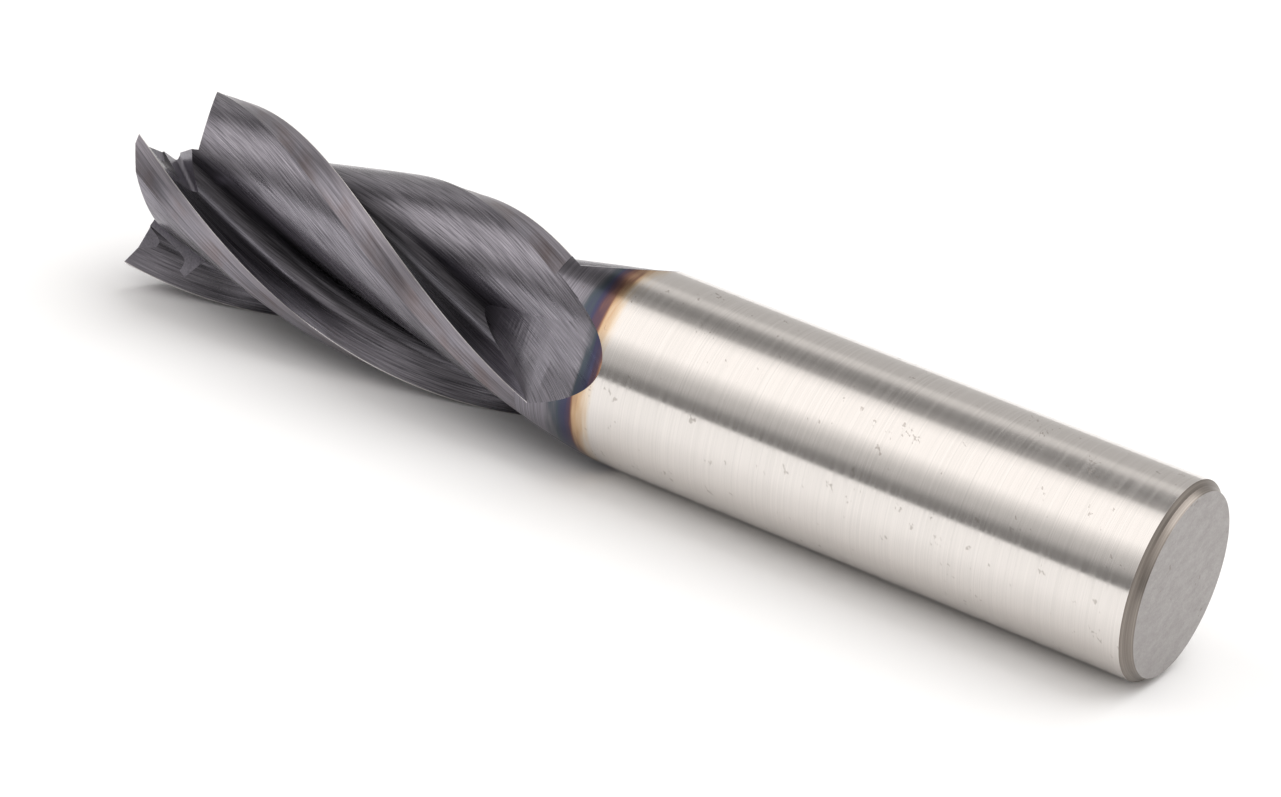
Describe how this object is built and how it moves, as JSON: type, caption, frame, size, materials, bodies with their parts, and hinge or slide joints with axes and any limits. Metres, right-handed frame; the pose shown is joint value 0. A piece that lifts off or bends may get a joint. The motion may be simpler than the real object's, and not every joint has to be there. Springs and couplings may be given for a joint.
{
  "type": "square end mill",
  "caption": "Square end mill with helical flutes, coated cutting part and a plain cylindrical shank.",
  "frame": {"origin": "centre of the shank's end face, on which the tool stands", "axes": "+Z along the tool's axis from the shank to the cutting end, +X through the corner of one tooth at the cutting end"},
  "size_m": [0.016, 0.016, 0.092],
  "materials": {
    "carbide": "ground"
  },
  "bodies": {
    "root": {"end_mill": "carbide"}
  },
  "joints": []
}
